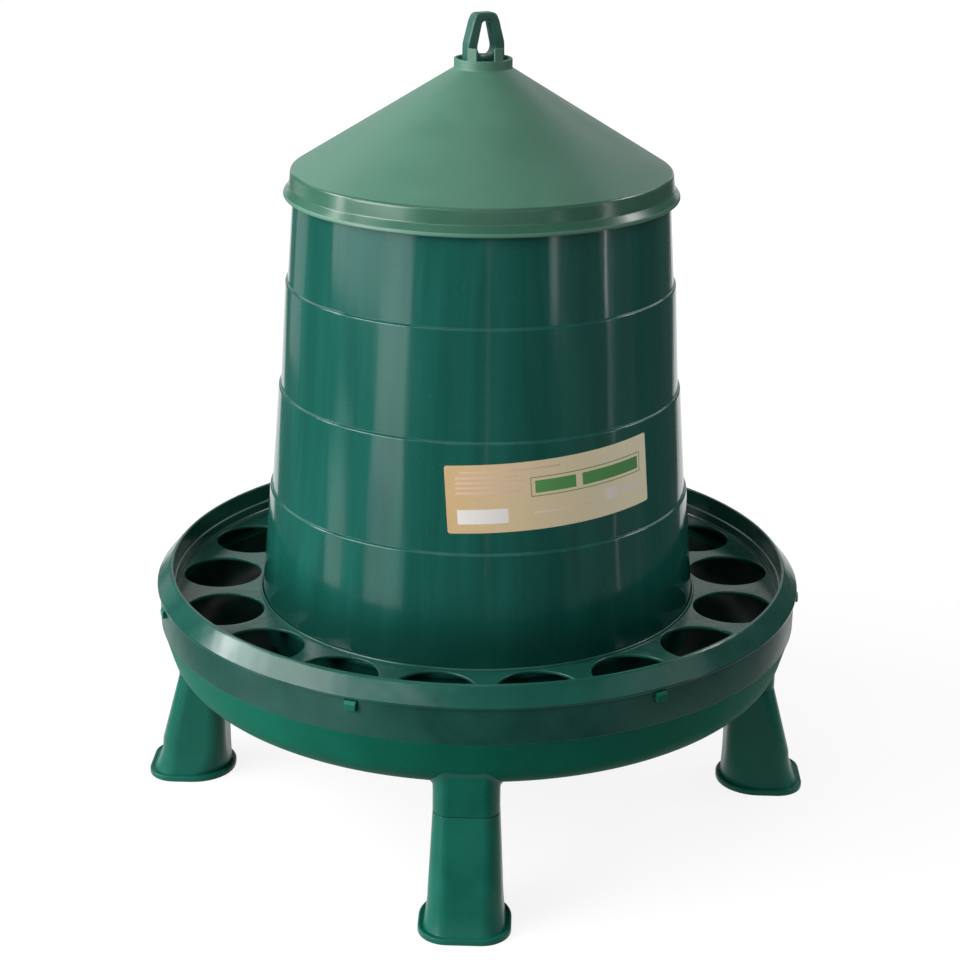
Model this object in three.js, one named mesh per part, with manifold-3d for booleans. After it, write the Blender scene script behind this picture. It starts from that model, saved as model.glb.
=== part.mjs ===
// Hopper feeder for poultry: a stepped hopper with a conical lid stands in a round trough
// that is covered by a ring of feeding holes, on four push-on legs, with a loop to hang it by.
// Millimetres, +Z up, origin on the floor under the middle of the feeder.
import * as THREE from 'three';
import { mergeVertices } from 'three/addons/utils/BufferGeometryUtils.js';
import Module from 'manifold-3d';

const wasm = await Module();
wasm.setup();

// Counts and angles
const roundSides = 54;
const holeSides = 24;
const cornerSteps = 2;
const crownSteps = 3;
const curveSteps = 4;
const legCount = 4;
const hookCount = 7;
const ribCount = 8;
const tongueCount = 4;
const coneAngle = THREE.MathUtils.degToRad(31.6);
const bowlTaper = THREE.MathUtils.degToRad(15.5);
const frontLegTurn = THREE.MathUtils.degToRad(-90);
const firstHoleTurn = THREE.MathUtils.degToRad(-75.7);
const firstHookTurn = THREE.MathUtils.degToRad(-57.3);
const firstRibTurn = THREE.MathUtils.degToRad(22.5);
const hangerTurn = THREE.MathUtils.degToRad(31.5);
const tongueSpread = THREE.MathUtils.degToRad(28);
const tongueTurn = THREE.MathUtils.degToRad(-83.5);

// Fits
const seatGap = 0.3;
const snapGap = 0.5;
const slideGap = 0.4;
const overrun = 5;

// Legs: hollow mouldings pushed over a tenon, flared to a foot with a low lip.
// Depths are measured outwards from the leg's inner face.
const legHeight = 72.8;
const legWall = 2.4;
const legInset = 8.3;
const legTopDepth = 30.1;
const legTopHalfWidth = 20;
const legTopCorner = 10;
const shinZ = 26;
const shinDepth = 42.5;
const shinHalfWidth = 22.2;
const shinCorner = 12;
const flareZ = 10;
const flareDepth = 46.5;
const flareHalfWidth = 24;
const heelReach = 4.7;
const footDepth = 52.5;
const footHalfWidth = 28;
const footOuterCorner = 18;
const heelFlat = 2;
const lipHeight = 3.8;
const lipWidth = 2.2;
const lipRound = 0.9;

// Tray: bowl with stubs for the legs, a feed spreading cone and hooks round its wall
const stubHeight = 16.1;
const bowlDepth = 36;
const bowlInset = 0.5;
const bowlStraight = 18;
const trayWall = 2.5;
const coneInset = 17.5;
const coneRise = 56;
const coneTopR = 9;
const tenonLength = 20;
const tenonWall = 2.2;
const ribThick = 3;
const ribLength = 49.5;
const hookWidth = 7.2;
const hookHeight = 5.8;
const hookReach = 2.6;
const hookCrown = 1.3;
const hookDrop = 1.2;

// Grid ring: perforated plate, raised rim with a sloping band, and a skirt over the tray
const skirtOuterR = 208.4;
const skirtWall = 2.1;
const skirtHeight = 19.9;
const bandOverhang = 1.6;
const bandHeight = 15;
const rimCrownInset = 7.8;
const rimHalfThick = 1.3;
const plateDrop = 18.7;
const plateThick = 2.2;
const ledgeRise = 6.4;
const ledgeWidth = 1.2;
const rimWall = 2.1;
const bandLip = 1.6;
const beadRise = 1.4;
const beadWidth = 1.7;
const holeMargin = 1.15;
const holeBridge = 11.4;

// Hopper: one tapered tube with three outward steps, a neck under the lid and a foot flange
const hopperWall = 2.4;
const feedGap = 24.4;
const hopperFootR = 141.5;
const flangeReach = 2.9;
const flangeThick = 2.6;
const footSpread = 6.2;
const lowerSpread = 6.9;
const upperSpread = 5.4;
const stepWidth = 1.5;
const stepFall = 0.8;
const lowestStepRise = 71.6;
const sectionHeight = 67.6;
const topSectionHeight = 55;
const neckInset = 1.8;
const neckHeight = 13.5;

// Hanger: flat frame that clips into two windows of the neck and ends in the loop
const hangerThick = 8.4;
const windowHeight = 4.8;
const windowRise = 3;
const armDepth = 9;
const armEndHeight = 12;
const armEndLength = 9;
const armCoverGap = 4;
const hubHalfWidth = 12.9;
const loopRise = 27.2;
const loopShoulderInset = 0.2;
const loopCrownInset = 3.9;
const loopCrownDrop = 5;
const loopTopInset = 7.6;
const loopCrownRound = 1.3;
const loopBar = 5.3;
const eyeHeight = 21;
const eyeDrop = 5;
const eyeTopInset = 4.8;
const eyeRound = 1.2;
const eyeFootRound = 5;
const hubDepth = 14;

// Lid: cone shell with a short wall, a flared lip and a collar that the loop comes up through
const lidWall = 2.4;
const lidPlay = 0.6;
const lidWallHeight = 9;
const lidLipReach = 4.7;
const lidLipFall = 4.4;
const lidLipThick = 2.4;
const collarPlay = 2.4;
const collarWall = 2;
const collarHeight = 6;
const tongueWidth = 6.2;
const tongueHeight = 7.6;

// Heights and radii that follow from the sizes above
const bowlOuterR = skirtOuterR - bowlInset;
const bandEdgeR = skirtOuterR + bandOverhang;
const rimCrownR = skirtOuterR - rimCrownInset;
const legTopOuterR = bowlOuterR - legInset;
const legInnerR = legTopOuterR - legTopDepth;
const footInnerCorner = footHalfWidth - heelFlat / 2;
const coneFootR = hopperFootR - coneInset;
const lowerStepR = hopperFootR - footSpread;
const middleStepR = lowerStepR - lowerSpread;
const upperStepR = middleStepR - upperSpread;
const hopperTopR = upperStepR - upperSpread;
const neckOuterR = hopperTopR - neckInset;
const lidOuterR = neckOuterR + lidPlay + lidWall;
const lidLipR = lidOuterR + lidLipReach;
const collarR = Math.hypot(hubHalfWidth, hangerThick / 2) + collarPlay + collarWall;
const trayUnderZ = legHeight + stubHeight;
const skirtBottomZ = trayUnderZ + bowlDepth;
const bandEdgeZ = skirtBottomZ + skirtHeight;
const rimTopZ = bandEdgeZ + bandHeight;
const plateTopZ = rimTopZ - plateDrop;
const plateUnderZ = plateTopZ - plateThick;
const skirtInnerR = skirtOuterR - skirtWall;
const trayRimR = skirtInnerR - seatGap;
const trayRimZ = bandEdgeZ - seatGap;
const trayFloorZ = trayUnderZ + trayWall;
const hopperFootZ = trayFloorZ + feedGap;
const hopperInnerFootR = hopperFootR - hopperWall;
const lowerStepZ = plateTopZ + lowestStepRise;
const middleStepZ = lowerStepZ + sectionHeight;
const upperStepZ = middleStepZ + sectionHeight;
const neckBaseZ = upperStepZ + topSectionHeight;
const hopperRimZ = neckBaseZ + neckHeight;
const neckInnerR = neckOuterR - hopperWall;
const plateInnerR = hopperFootR + slideGap;
const plateOuterR = rimCrownR - rimHalfThick - 2 * ledgeWidth;
const holeRingR = (plateInnerR + beadWidth + plateOuterR) / 2;
const holeR = (plateOuterR - plateInnerR - beadWidth) / 2 - holeMargin;
const holeCount = Math.floor(2 * Math.PI * holeRingR / (2 * holeR + holeBridge));
const coneWallRise = lidWall / Math.cos(coneAngle);
const lidUnderZ = (r) => hopperRimZ + seatGap + (neckOuterR - r) * Math.tan(coneAngle);
const lidTopZ = (r) => lidUnderZ(r) + coneWallRise;
const collarTopZ = lidTopZ(collarR) + collarHeight;
const loopTopZ = collarTopZ + loopRise;

// Materials
const plastic = (color, roughness) => new THREE.MeshStandardMaterial({ color, roughness, metalness: 0 });
const sageGreen = plastic(0x5f8f78, 0.45);
const bottleGreen = plastic(0x1c4f47, 0.28);
const leafGreen = plastic(0x1d6f57, 0.35);

// Turns a closed geometry into a solid that can be cut and joined
function solidOf(geometry) {
  const bare = geometry.index ? geometry.toNonIndexed() : geometry.clone();
  bare.deleteAttribute('normal');
  bare.deleteAttribute('uv');
  const merged = mergeVertices(bare);
  const index = merged.index.array;
  const triangles = [];
  for (let i = 0; i < index.length; i += 3) {
    const [a, b, c] = [index[i], index[i + 1], index[i + 2]];
    if (a !== b && b !== c && c !== a) triangles.push(a, b, c);
  }
  return new wasm.Manifold(new wasm.Mesh({
    numProp: 3,
    vertProperties: new Float32Array(merged.attributes.position.array),
    triVerts: new Uint32Array(triangles),
  }));
}

// Gives a finished solid its name, material and turn about the feeder's axis
function piece(name, solid, material, turn = 0) {
  const { vertProperties, triVerts } = solid.getMesh();
  const geometry = new THREE.BufferGeometry();
  geometry.setAttribute('position', new THREE.BufferAttribute(new Float32Array(vertProperties), 3));
  geometry.setIndex(new THREE.BufferAttribute(new Uint32Array(triVerts), 1));
  geometry.computeVertexNormals();
  const mesh = new THREE.Mesh(geometry, material);
  mesh.name = name;
  mesh.rotation.z = turn;
  return mesh;
}

// Revolves an outline of [radius, height] points about the feeder's axis
function revolve(outline) {
  const points = outline.map(([r, z]) => new THREE.Vector2(r, z));
  if (THREE.ShapeUtils.isClockWise(points)) points.reverse();
  const leavesAxis = points.findIndex(({ x }, i) => x === 0 && points[(i + 1) % points.length].x > 0);
  const start = Math.max(leavesAxis, 0);
  const ordered = [...points.slice(start), ...points.slice(0, start)];
  if (leavesAxis < 0) ordered.push(ordered[0].clone());
  return solidOf(new THREE.LatheGeometry(ordered, roundSides).rotateX(Math.PI / 2));
}

// Evenly spread turns about the feeder's axis
function turnsOf(count, first) {
  return Array.from({ length: count }, (unused, i) => first + i * 2 * Math.PI / count);
}

// Points on an arc about [centreR, centreZ], from one angle to another
function arc(centreR, centreZ, radius, from, to, steps = curveSteps) {
  return Array.from({ length: steps + 1 }, (unused, i) => {
    const angle = from + (to - from) * i / steps;
    return [centreR + radius * Math.cos(angle), centreZ + radius * Math.sin(angle)];
  });
}

// Upright plate: an outline of [along, height] points, given a thickness and turned about the axis
function uprightPlate(outline, thickness, turn, holes = []) {
  const shape = new THREE.Shape(outline.map(([s, z]) => new THREE.Vector2(s, z)));
  for (const hole of holes) shape.holes.push(new THREE.Path(hole.map(([s, z]) => new THREE.Vector2(s, z))));
  const geometry = new THREE.ExtrudeGeometry(shape, { depth: thickness, bevelEnabled: false });
  geometry.translate(0, 0, -thickness / 2).rotateX(Math.PI / 2).rotateZ(turn);
  return solidOf(geometry);
}

// Rounded section across a leg, from the inner to the outer radius
function legSection(innerR, outerR, halfWidth, outerCorner, innerCorner = outerCorner) {
  const shape = new THREE.Shape();
  const quarter = Math.PI / 2;
  shape.absarc(outerR - outerCorner, halfWidth - outerCorner, outerCorner, 0, quarter);
  shape.absarc(innerR + innerCorner, halfWidth - innerCorner, innerCorner, quarter, 2 * quarter);
  shape.absarc(innerR + innerCorner, innerCorner - halfWidth, innerCorner, 2 * quarter, 3 * quarter);
  shape.absarc(outerR - outerCorner, outerCorner - halfWidth, outerCorner, 3 * quarter, 4 * quarter);
  return shape.getPoints(cornerSteps);
}

// Lofts a closed solid, turned about the feeder's axis, through sections given as { z, points }
function loft(sections, turn = 0) {
  const count = sections[0].points.length;
  const positions = sections.flatMap(({ z, points }) => points.flatMap((p) => [p.x, p.y, z]));
  const index = [];
  for (let ring = 0; ring + 1 < sections.length; ring += 1) {
    for (let i = 0; i < count; i += 1) {
      const a = ring * count + i;
      const b = ring * count + (i + 1) % count;
      index.push(a, b, b + count, a, b + count, a + count);
    }
  }
  const last = (sections.length - 1) * count;
  for (const [i, j, k] of THREE.ShapeUtils.triangulateShape(sections[0].points, [])) {
    index.push(k, j, i, last + i, last + j, last + k);
  }
  const geometry = new THREE.BufferGeometry();
  geometry.setAttribute('position', new THREE.Float32BufferAttribute(positions, 3));
  geometry.setIndex(index);
  return solidOf(geometry.rotateZ(turn));
}

// One leg, drawn along +X: the outer loft less an inner loft drawn in by the wall
function legSolid() {
  const topZ = legHeight - seatGap;
  const foot = (inset) => legSection(
    legInnerR - heelReach + inset,
    legInnerR + footDepth - inset,
    footHalfWidth - inset,
    footOuterCorner - inset,
    footInnerCorner - inset,
  );
  const flare = (inset) => legSection(
    legInnerR + (lipWidth - heelReach) / 2 + inset,
    legInnerR + flareDepth - inset,
    flareHalfWidth - inset,
    footOuterCorner - inset,
    (shinCorner + footInnerCorner) / 2 - inset,
  );
  const shin = (inset) => legSection(
    legInnerR + inset,
    legInnerR + shinDepth - inset,
    shinHalfWidth - inset,
    shinCorner - inset,
  );
  const top = (inset) => legSection(
    legInnerR + inset,
    legTopOuterR - inset,
    legTopHalfWidth - inset,
    legTopCorner - inset,
  );
  const outside = loft([
    { z: 0, points: foot(0) },
    { z: lipHeight - lipRound, points: foot(0) },
    { z: lipHeight, points: foot(lipRound) },
    { z: lipHeight + lipRound / 2, points: foot(lipWidth) },
    { z: flareZ, points: flare(0) },
    { z: shinZ, points: shin(0) },
    { z: topZ, points: top(0) },
  ]);
  const hollow = loft([
    { z: -overrun, points: foot(legWall + lipWidth) },
    { z: lipHeight, points: foot(legWall + lipWidth) },
    { z: flareZ, points: flare(legWall) },
    { z: shinZ, points: shin(legWall) },
    { z: topZ, points: top(legWall) },
    { z: topZ + overrun, points: top(legWall) },
  ]);
  return outside.subtract(hollow);
}

// Underside of the bowl: cone hollow, flat floor, round corner, tapered wall
const bowlWallFootR = bowlOuterR - bowlStraight * Math.tan(bowlTaper);
const bowlWallFootZ = skirtBottomZ - bowlStraight;
const bowlCornerR = (bowlWallFootZ - trayUnderZ) / (1 - Math.sin(bowlTaper));
const bowlCentreR = bowlWallFootR - bowlCornerR * Math.cos(bowlTaper);
const bowlCentreZ = trayUnderZ + bowlCornerR;

// Stub under the bowl with the tenon that a leg is pushed over
function stubSolid(turn) {
  const stub = legSection(legInnerR, legTopOuterR, legTopHalfWidth, legTopCorner);
  const tenon = tenonSection(0);
  return loft([
    { z: legHeight, points: stub },
    { z: bowlWallFootZ - overrun, points: stub },
  ], turn).add(loft([
    { z: legHeight - tenonLength, points: tenon },
    { z: legHeight + tenonWall, points: tenon },
  ], turn));
}

// Hollow up through tenon and stub to the underside of the bowl
function stubHollow(turn) {
  const core = tenonSection(tenonWall);
  return loft([
    { z: legHeight - tenonLength - overrun, points: core },
    { z: trayUnderZ, points: core },
  ], turn);
}

// Section of the tenon, which fits inside the top of a leg
function tenonSection(wall) {
  const inset = legWall + slideGap + wall;
  return legSection(
    legInnerR + inset,
    legTopOuterR - inset,
    legTopHalfWidth - inset,
    legTopCorner - legWall - slideGap - wall / 2,
  );
}

// Tray: filled bowl and stubs, less the trough, the hollow under the cone and the stub hollows
function traySolid() {
  const trayRimInnerR = trayRimR - trayWall;
  const coneTopZ = trayFloorZ + coneRise;
  const coneFall = coneRise / (coneFootR - coneTopR);
  const cornerFrom = -Math.PI / 2;
  const outside = [
    [0, trayUnderZ],
    ...arc(bowlCentreR, bowlCentreZ, bowlCornerR, cornerFrom, -bowlTaper),
    [bowlOuterR, skirtBottomZ - seatGap],
    [trayRimR, skirtBottomZ - seatGap],
    [trayRimR, trayRimZ],
    [0, trayRimZ],
  ];
  const trough = [
    [coneTopR, trayFloorZ + coneRise],
    [coneFootR, trayFloorZ],
    ...arc(bowlCentreR, bowlCentreZ, bowlCornerR - trayWall, cornerFrom, -bowlTaper),
    [bowlOuterR - trayWall, skirtBottomZ - seatGap - trayWall],
    [trayRimInnerR, skirtBottomZ - seatGap + trayWall],
    [trayRimInnerR, coneTopZ + overrun],
    [0, coneTopZ + overrun],
    [0, coneTopZ],
  ];
  const underCone = [
    [0, trayUnderZ - overrun],
    [coneFootR - trayWall, trayUnderZ - overrun],
    [coneFootR - trayWall, trayUnderZ],
    [coneTopR, trayUnderZ + (coneFootR - trayWall - coneTopR) * coneFall],
    [0, trayUnderZ + (coneFootR - trayWall - coneTopR) * coneFall],
  ];
  const coneBody = [
    [0, trayUnderZ],
    [coneFootR, trayUnderZ],
    [coneFootR, trayFloorZ],
    [coneTopR, coneTopZ],
    [0, coneTopZ],
  ];
  const turns = turnsOf(legCount, frontLegTurn);
  let solid = revolve(outside);
  for (const turn of turns) solid = solid.add(stubSolid(turn));
  solid = solid.add(revolve(coneBody)).subtract(revolve(trough)).subtract(revolve(underCone));
  for (const turn of turns) solid = solid.subtract(stubHollow(turn));
  return solid;
}

// Ribs between cone and floor that the hopper's lower edge stands on
function spreaderRib(turn) {
  const seatZ = hopperFootZ - seatGap;
  const slope = coneRise / (coneFootR - coneTopR);
  const ribInnerR = hopperFootR - ribLength;
  const innerZ = trayFloorZ + (coneFootR - ribInnerR) * slope - trayWall / 2;
  return uprightPlate([
    [ribInnerR, innerZ],
    [coneFootR, trayFloorZ - trayWall / 2],
    [hopperFootR, trayFloorZ - trayWall / 2],
    [hopperFootR, seatZ],
    [ribInnerR, seatZ],
  ], ribThick, turn);
}

// Snap hook on the tray's wall: flat below, sloping above
function hookSolid(turn) {
  const topZ = bandEdgeZ - hookDrop;
  const rootR = trayRimR - trayWall / 2;
  return uprightPlate([
    [rootR, topZ - hookHeight],
    [skirtOuterR + hookReach, topZ - hookHeight],
    [skirtOuterR + hookReach, topZ - hookHeight / 3],
    [skirtOuterR + hookCrown, topZ],
    [rootR, topZ],
  ], hookWidth, turn);
}

function tray() {
  let solid = traySolid();
  for (const turn of turnsOf(ribCount, firstRibTurn)) solid = solid.add(spreaderRib(turn));
  for (const turn of turnsOf(hookCount, firstHookTurn)) solid = solid.add(hookSolid(turn));
  return piece('tray', solid, leafGreen);
}

// Grid ring: one revolved section with a folded rim, then holes and the hooks' windows are cut
function gridRing() {
  const ledgeZ = plateTopZ + ledgeRise;
  const rimInnerR = rimCrownR - rimHalfThick;
  const foldR = rimInnerR + rimWall;
  const bandTopZ = rimTopZ - rimHalfThick;
  const bandSlope = (bandTopZ - bandEdgeZ) / (bandEdgeR - rimCrownR - rimHalfThick);
  const foldTopZ = bandEdgeZ + (skirtInnerR - foldR) * bandSlope;
  const beadOuterR = plateInnerR + beadWidth;
  let solid = revolve([
    [plateInnerR, plateUnderZ],
    [foldR, plateUnderZ],
    [foldR, foldTopZ],
    [skirtInnerR, bandEdgeZ],
    [skirtInnerR, skirtBottomZ],
    [skirtOuterR, skirtBottomZ],
    [skirtOuterR, bandEdgeZ],
    [bandEdgeR, bandEdgeZ],
    [bandEdgeR, bandEdgeZ + bandLip / 2],
    [bandEdgeR - bandLip / 2, bandEdgeZ + bandLip],
    ...arc(rimCrownR, bandTopZ, rimHalfThick, Math.PI / 6, Math.PI, crownSteps),
    [rimInnerR, ledgeZ + ledgeWidth / 2],
    [rimInnerR - ledgeWidth, ledgeZ],
    [rimInnerR - ledgeWidth, plateTopZ + ledgeWidth],
    [plateOuterR, plateTopZ],
    [beadOuterR, plateTopZ],
    [beadOuterR - beadRise / 2, plateTopZ + beadRise],
    [plateInnerR, plateTopZ + beadRise],
  ]);
  for (const turn of turnsOf(holeCount, firstHoleTurn)) {
    const drill = new THREE.CylinderGeometry(holeR, holeR, plateThick + 2 * overrun, holeSides);
    drill.rotateX(Math.PI / 2).translate(holeRingR, 0, plateTopZ - plateThick / 2).rotateZ(turn);
    solid = solid.subtract(solidOf(drill));
  }
  for (const turn of turnsOf(hookCount, firstHookTurn)) {
    const topZ = bandEdgeZ - hookDrop + snapGap;
    const bottomZ = bandEdgeZ - hookDrop - hookHeight - snapGap;
    solid = solid.subtract(uprightPlate([
      [trayRimR - trayWall / 2, bottomZ],
      [bandEdgeR + overrun, bottomZ],
      [bandEdgeR + overrun, topZ],
      [trayRimR - trayWall / 2, topZ],
    ], hookWidth + 2 * snapGap, turn));
  }
  return piece('grid_ring', solid, bottleGreen);
}

// Hopper wall as an outer line from neck to foot, drawn in by the wall for the inner line
function hopper() {
  const steps = [
    { z: neckBaseZ, above: neckOuterR, below: hopperTopR },
    { z: upperStepZ, above: upperStepR - stepWidth, below: upperStepR },
    { z: middleStepZ, above: middleStepR - stepWidth, below: middleStepR },
    { z: lowerStepZ, above: lowerStepR - stepWidth, below: lowerStepR },
  ];
  const flangeTopZ = plateUnderZ - seatGap;
  const outerLine = steps.flatMap(({ z, above, below }) => [[above, z + stepFall], [below, z]]);
  const innerLine = steps.flatMap(({ z, above, below }) => (
    [[above - hopperWall, z + stepFall - hopperWall / 2], [below - hopperWall, z - hopperWall / 2]]));
  const section = [
    [neckInnerR, hopperRimZ],
    [neckOuterR, hopperRimZ],
    ...outerLine,
    [hopperFootR, plateTopZ + beadRise],
    [hopperFootR, flangeTopZ],
    [hopperFootR + flangeReach, flangeTopZ],
    [hopperFootR + flangeReach, flangeTopZ - flangeThick],
    [hopperFootR, flangeTopZ - flangeThick],
    [hopperFootR, hopperFootZ],
    [hopperInnerFootR, hopperFootZ],
    [hopperInnerFootR, plateTopZ + beadRise],
    ...innerLine.reverse(),
  ];
  let solid = revolve(section);
  const windowZ = neckBaseZ + windowRise;
  for (const side of [0, Math.PI]) {
    solid = solid.subtract(uprightPlate([
      [neckInnerR - overrun, windowZ],
      [neckOuterR + overrun, windowZ],
      [neckOuterR + overrun, windowZ + windowHeight],
      [neckInnerR - overrun, windowZ + windowHeight],
    ], hangerThick + 2 * snapGap, hangerTurn + side));
  }
  return piece('hopper', solid, bottleGreen);
}

// Hanger: arms from the neck's windows up under the cone to the loop, cut from one thickness
function hanger() {
  const windowZ = neckBaseZ + windowRise;
  const tabBottomZ = windowZ + seatGap;
  const tabTopZ = windowZ + windowHeight - seatGap;
  const facetShare = Math.cos(Math.PI / roundSides);
  const armEndR = neckInnerR * facetShare - slideGap;
  const armFootR = armEndR - armEndLength;
  const armTopAt = (s) => lidUnderZ(s) - armCoverGap;
  const endBottomZ = tabBottomZ - (armEndHeight - windowHeight) / 2;
  const hubBottomZ = armTopAt(hubHalfWidth) - hubDepth;
  const eyeTopZ = loopTopZ - eyeDrop;
  const half = [
    [0, hubBottomZ],
    [hubHalfWidth, hubBottomZ],
    [armFootR, endBottomZ + armEndHeight - armDepth],
    [armFootR, endBottomZ],
    [armEndR, endBottomZ],
    [armEndR, tabBottomZ],
    [neckOuterR * facetShare, tabBottomZ],
    [neckOuterR * facetShare, tabTopZ],
    [armEndR, tabTopZ],
    [armEndR, endBottomZ + armEndHeight],
    [armFootR, armTopAt(armFootR)],
    [hubHalfWidth + armCoverGap, armTopAt(hubHalfWidth + armCoverGap)],
    [hubHalfWidth, collarTopZ - collarHeight],
    [hubHalfWidth, collarTopZ],
    [hubHalfWidth - loopShoulderInset, collarTopZ + loopRise / 3],
    [hubHalfWidth - loopCrownInset, loopTopZ - loopCrownDrop],
    [hubHalfWidth - (loopCrownInset + loopTopInset - loopCrownRound) / 2, loopTopZ - loopCrownRound],
    [hubHalfWidth - loopTopInset, loopTopZ],
  ];
  const mirrored = half.slice(1).reverse().map(([s, z]) => [-s, z]);
  const eyeFootZ = eyeTopZ - eyeHeight;
  const eyeHalfWidth = hubHalfWidth - loopBar;
  const eyeTopHalf = eyeHalfWidth - eyeTopInset;
  const eyeFootCut = eyeFootRound * (1 - Math.SQRT1_2);
  const eye = [
    [-eyeHalfWidth, eyeFootZ + eyeFootRound],
    [-eyeTopHalf, eyeTopZ - eyeRound],
    [eyeRound - eyeTopHalf, eyeTopZ],
    [eyeTopHalf - eyeRound, eyeTopZ],
    [eyeTopHalf, eyeTopZ - eyeRound],
    [eyeHalfWidth, eyeFootZ + eyeFootRound],
    [eyeHalfWidth - eyeFootCut, eyeFootZ + eyeFootCut],
    [eyeHalfWidth - eyeFootRound, eyeFootZ],
    [eyeFootRound - eyeHalfWidth, eyeFootZ],
    [eyeFootCut - eyeHalfWidth, eyeFootZ + eyeFootCut],
  ];
  return piece('hanger', uprightPlate([...half, ...mirrored], hangerThick, hangerTurn, [eye]), bottleGreen);
}

// Lid: one revolved shell, with tongues standing on its collar
function lid() {
  const innerR = lidOuterR - lidWall;
  const wallTopZ = lidTopZ(lidOuterR);
  const wallFootZ = wallTopZ - lidWallHeight;
  const lipBottomZ = wallFootZ - lidLipFall - lidLipThick;
  const collarInnerR = collarR - collarWall;
  const shell = [
    [collarR, lidTopZ(collarR)],
    [lidOuterR - lidWall / 2, lidTopZ(lidOuterR - lidWall / 2)],
    [lidOuterR, wallTopZ - lidWall / 2],
    [lidOuterR, wallFootZ],
    [lidOuterR + (lidLipR - lidOuterR) / 3, wallFootZ - lidLipFall / 2],
    [lidLipR - lidLipThick / 4, wallFootZ - lidLipFall],
    [lidLipR, wallFootZ - lidLipFall - lidLipThick / 3],
    [lidLipR, lipBottomZ + lidLipThick / 4],
    [lidLipR - lidLipThick / 4, lipBottomZ],
    [lidLipR - lidLipThick, lipBottomZ],
    [lidLipR - lidLipThick, wallFootZ - lidLipFall - lidLipThick / 2],
    [innerR + (lidLipR - lidOuterR) / 3, wallFootZ - lidLipFall / 2 - lidWall / 3],
    [innerR, wallFootZ - lidWall / 3],
    [innerR, lidUnderZ(innerR)],
    [collarInnerR, lidUnderZ(collarInnerR)],
    [collarInnerR, collarTopZ],
    [collarR, collarTopZ],
  ];
  let solid = revolve(shell);
  for (let i = 0; i < tongueCount; i += 1) {
    const side = i % 2 ? 1 : -1;
    const turn = tongueTurn + side * tongueSpread + (i < tongueCount / 2 ? 0 : Math.PI);
    solid = solid.add(uprightPlate([
      [collarInnerR + collarWall / 4, collarTopZ - collarHeight / 2],
      [collarR - collarWall / 8, collarTopZ - collarHeight / 2],
      [collarR - collarWall / 8, collarTopZ + tongueHeight],
      [collarInnerR + collarWall / 4, collarTopZ + tongueHeight],
    ], tongueWidth, turn));
  }
  return piece('lid', solid, sageGreen);
}

// The whole feeder
const feeder = new THREE.Group();
feeder.add(tray(), gridRing(), hopper(), hanger(), lid());
const legNames = ['leg_front', 'leg_right', 'leg_back', 'leg_left'];
turnsOf(legCount, frontLegTurn).forEach((turn, i) => {
  feeder.add(piece(legNames[i], legSolid(), leafGreen, turn));
});

export default feeder;
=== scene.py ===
import bpy
import bmesh
import math
from mathutils import Matrix, Vector


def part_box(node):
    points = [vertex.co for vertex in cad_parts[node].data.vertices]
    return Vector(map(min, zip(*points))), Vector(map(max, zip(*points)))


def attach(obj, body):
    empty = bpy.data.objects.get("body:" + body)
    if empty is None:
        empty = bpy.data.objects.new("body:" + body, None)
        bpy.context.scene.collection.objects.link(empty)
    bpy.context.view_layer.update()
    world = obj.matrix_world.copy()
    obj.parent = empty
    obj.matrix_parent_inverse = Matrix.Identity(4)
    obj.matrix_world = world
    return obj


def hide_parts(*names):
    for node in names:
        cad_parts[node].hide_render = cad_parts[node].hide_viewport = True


# Poultry hopper feeder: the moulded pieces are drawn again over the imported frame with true
# curves, rounded edges and their own finishes. Lengths are in millimetres until a mesh is made.

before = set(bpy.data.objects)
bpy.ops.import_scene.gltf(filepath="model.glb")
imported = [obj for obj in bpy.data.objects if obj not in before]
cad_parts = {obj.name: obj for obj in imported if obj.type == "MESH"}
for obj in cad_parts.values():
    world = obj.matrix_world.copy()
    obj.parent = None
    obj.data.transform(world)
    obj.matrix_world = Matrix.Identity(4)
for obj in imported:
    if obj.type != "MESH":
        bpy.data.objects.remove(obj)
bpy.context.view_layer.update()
mm = 0.001
fullTurn = 2 * math.pi
turnSteps = 160  # columns round a turned form
tiny = 1e-6


def levels(node):  # lowest and highest point of a CAD node
    low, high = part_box(node)
    return low.z / mm, high.z / mm


def reachOf(node):  # how far a CAD node reaches from the axis, along Y
    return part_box(node)[1].y / mm


# Outlines and meshes

fillet = {"arcStep": math.radians(24), "sideShare": 0.45, "nearlyStraight": math.radians(88)}
mesher = {"weldGap": 0.002, "areaWeight": 80, "sharp": 50, "rim": math.radians(60), "bevelSteps": 3}


def rounded(corners):  # corners are (x, y, radius), and each is cut back to an arc
    points = []
    for i, (x, y, radius) in enumerate(corners):
        here = Vector((x, y))
        back = Vector(corners[i - 1][:2]) - here
        ahead = Vector(corners[(i + 1) % len(corners)][:2]) - here
        half = back.angle(ahead) / 2 if radius else math.pi / 2
        if half > fillet["nearlyStraight"]:
            points.append(here)
            continue
        longest = fillet["sideShare"]
        cut = min(radius / math.tan(half), back.length * longest, ahead.length * longest)
        arcRadius = cut * math.tan(half)
        centre = here + (back.normalized() + ahead.normalized()).normalized() * arcRadius / math.sin(half)
        spoke = here + back.normalized() * cut - centre
        sweep = math.pi - 2 * half
        if back.x * ahead.y - back.y * ahead.x > 0:
            sweep = -sweep
        steps = max(2, math.ceil(abs(sweep) / fillet["arcStep"]))
        for k in range(steps + 1):
            angle = sweep * k / steps
            points.append(centre + Vector((
                spoke.x * math.cos(angle) - spoke.y * math.sin(angle),
                spoke.x * math.sin(angle) + spoke.y * math.cos(angle))))
    return points


def rowNear(profile, radius, height):  # the outline's point nearest to a place
    return min(range(len(profile)), key=lambda i: (profile[i] - Vector((radius, height))).length)


def turnsOf(count, first):
    return [math.radians(first) + fullTurn * k / count for k in range(count)]


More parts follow.
